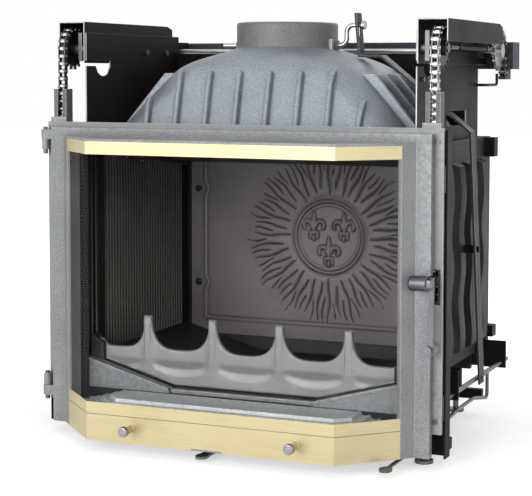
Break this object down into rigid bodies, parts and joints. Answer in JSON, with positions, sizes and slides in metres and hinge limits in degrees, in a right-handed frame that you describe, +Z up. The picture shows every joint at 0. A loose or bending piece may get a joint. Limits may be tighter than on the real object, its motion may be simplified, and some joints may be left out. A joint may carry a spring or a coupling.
{
  "type": "fireplace insert",
  "caption": "Cast iron fireplace insert with a prism-shaped glass door that lifts on chains with a counterweight, a smoke hood, a round flue collar and a damper linkage.",
  "frame": {"origin": "on the floor, midway between the sides, in the plane of the lifting frame's front face", "axes": "+X to the right seen from the front, +Y to the back, +Z up; the door faces -Y"},
  "size_m": [0.7115, 0.6051, 0.7146],
  "materials": {
    "cast": "painted cast iron, matt charcoal",
    "cast_grey": "painted cast iron, graphite grey",
    "sheet_black": "matt black stove paint",
    "frame_grey": "graphite grey stove paint",
    "steel": "bare steel",
    "dark_steel": "oiled dark steel",
    "brass": "brushed brass",
    "glass": "clear ceramic glass"
  },
  "bodies": {
    "firebox": {"chain_left": "steel", "chain_right": "steel", "ash_box": "sheet_black", "hearth": "cast", "front_sill": "cast", "side_wall_left": "cast", "side_wall_right": "cast", "back_wall": "cast", "top_plate": "cast", "front_frame": "cast", "liner_left": "cast", "liner_right": "cast", "fireback": "cast", "fireback_bolts": "dark_steel", "smoke_baffle": "cast", "hood": "cast_grey", "flue_collar": "cast_grey", "grate": "cast", "ash_pan": "steel", "log_retainer": "cast_grey", "retainer_brackets": "cast", "guide_post_left": "sheet_black", "guide_post_right": "sheet_black", "base_crossbars": "sheet_black", "feet": "dark_steel", "side_plate_left": "sheet_black", "side_plate_right": "sheet_black", "pulley_cover_left": "sheet_black", "pulley_cover_right": "sheet_black", "axle_supports": "dark_steel", "tension_spring": "dark_steel", "spring_anchors": "dark_steel", "weight_guides": "steel", "plate_bolts": "dark_steel", "rod_brackets": "sheet_black", "wall_clamps": "sheet_black"},
    "carrier": {"carrier_frame": "frame_grey", "slider_left": "frame_grey", "slider_right": "frame_grey", "carrier_screws": "dark_steel", "chain_clevises": "dark_steel"},
    "door": {"door_frame": "cast_grey", "door_glass": "glass", "brass_top_strip": "brass", "brass_upper_band": "brass", "brass_lower_band": "brass", "pull_knobs": "dark_steel", "knob_collars": "brass", "hinge_pins": "dark_steel"},
    "latch": {"latch_lever": "dark_steel"},
    "counterweight": {"counterweight_bar": "dark_steel", "chain_hangers": "dark_steel"},
    "sprocket_l": {"sprocket_left": "dark_steel"},
    "sprocket_r": {"sprocket_right": "dark_steel"},
    "rear_shaft": {"sync_shaft": "steel"},
    "damper": {"damper_spindle": "dark_steel", "damper_flap": "cast"},
    "damper_arm": {"damper_lever": "sheet_black"},
    "damper_rod": {"control_rod": "dark_steel"},
    "air_control": {"air_slide": "dark_steel"}
  },
  "joints": [
    {"name": "door_lift", "type": "slide", "parent": "firebox", "child": "carrier", "axis": [0, 0, 1], "range_m": [0, 0.381], "deforming": ["chain_left", "chain_right"]},
    {"name": "weight_drop", "type": "slide", "parent": "firebox", "child": "counterweight", "axis": [0, 0, -1], "range_m": [0, 0.381]},
    {"name": "sprocket_left_spin", "type": "hinge", "parent": "firebox", "child": "sprocket_l", "pos_m": [0, 0.04855, 0.652], "axis": [-1, 0, 0], "range_deg": [0, 676]},
    {"name": "sprocket_right_spin", "type": "hinge", "parent": "firebox", "child": "sprocket_r", "pos_m": [0, 0.04855, 0.652], "axis": [-1, 0, 0], "range_deg": [0, 676]},
    {"name": "rear_shaft_spin", "type": "hinge", "parent": "firebox", "child": "rear_shaft", "pos_m": [0, 0.37875, 0.652], "axis": [-1, 0, 0], "range_deg": [0, 676]},
    {"name": "door_swing", "type": "hinge", "parent": "carrier", "child": "door", "pos_m": [-0.3505, -0.008, 0.3], "axis": [0, 0, -1], "range_deg": [0, 100]},
    {"name": "latch_turn", "type": "hinge", "parent": "door", "child": "latch", "pos_m": [0.336, -0.025, 0.191], "axis": [0, -1, 0], "range_deg": [-3, 2.5]},
    {"name": "damper_turn", "type": "hinge", "parent": "firebox", "child": "damper", "pos_m": [0, 0.212, 0.6595], "axis": [-1, 0, 0], "range_deg": [0, 60]},
    {"name": "damper_arm_swing", "type": "hinge", "parent": "firebox", "child": "damper_arm", "pos_m": [0.34, 0.218, 0.32], "axis": [-1, 0, 0], "range_deg": [0, 4.88]},
    {"name": "damper_rod_slide", "type": "slide", "parent": "firebox", "child": "damper_rod", "axis": [0, -1, 0], "range_m": [0, 0.01826]},
    {"name": "air_slide_pull", "type": "slide", "parent": "firebox", "child": "air_control", "axis": [0, -1, 0], "range_m": [0, 0.03]}
  ],
  "couplings": [
    {"joint": "weight_drop", "follows": "door_lift", "ratio": 1},
    {"joint": "sprocket_left_spin", "follows": "door_lift", "rad_per_m": 30.921},
    {"joint": "sprocket_right_spin", "follows": "door_lift", "rad_per_m": 30.921},
    {"joint": "rear_shaft_spin", "follows": "door_lift", "rad_per_m": 30.921},
    {"joint": "damper_arm_swing", "follows": "damper_turn", "ratio": 0.078049},
    {"joint": "damper_rod_slide", "follows": "damper_turn", "m_per_rad": 0.016956}
  ]
}
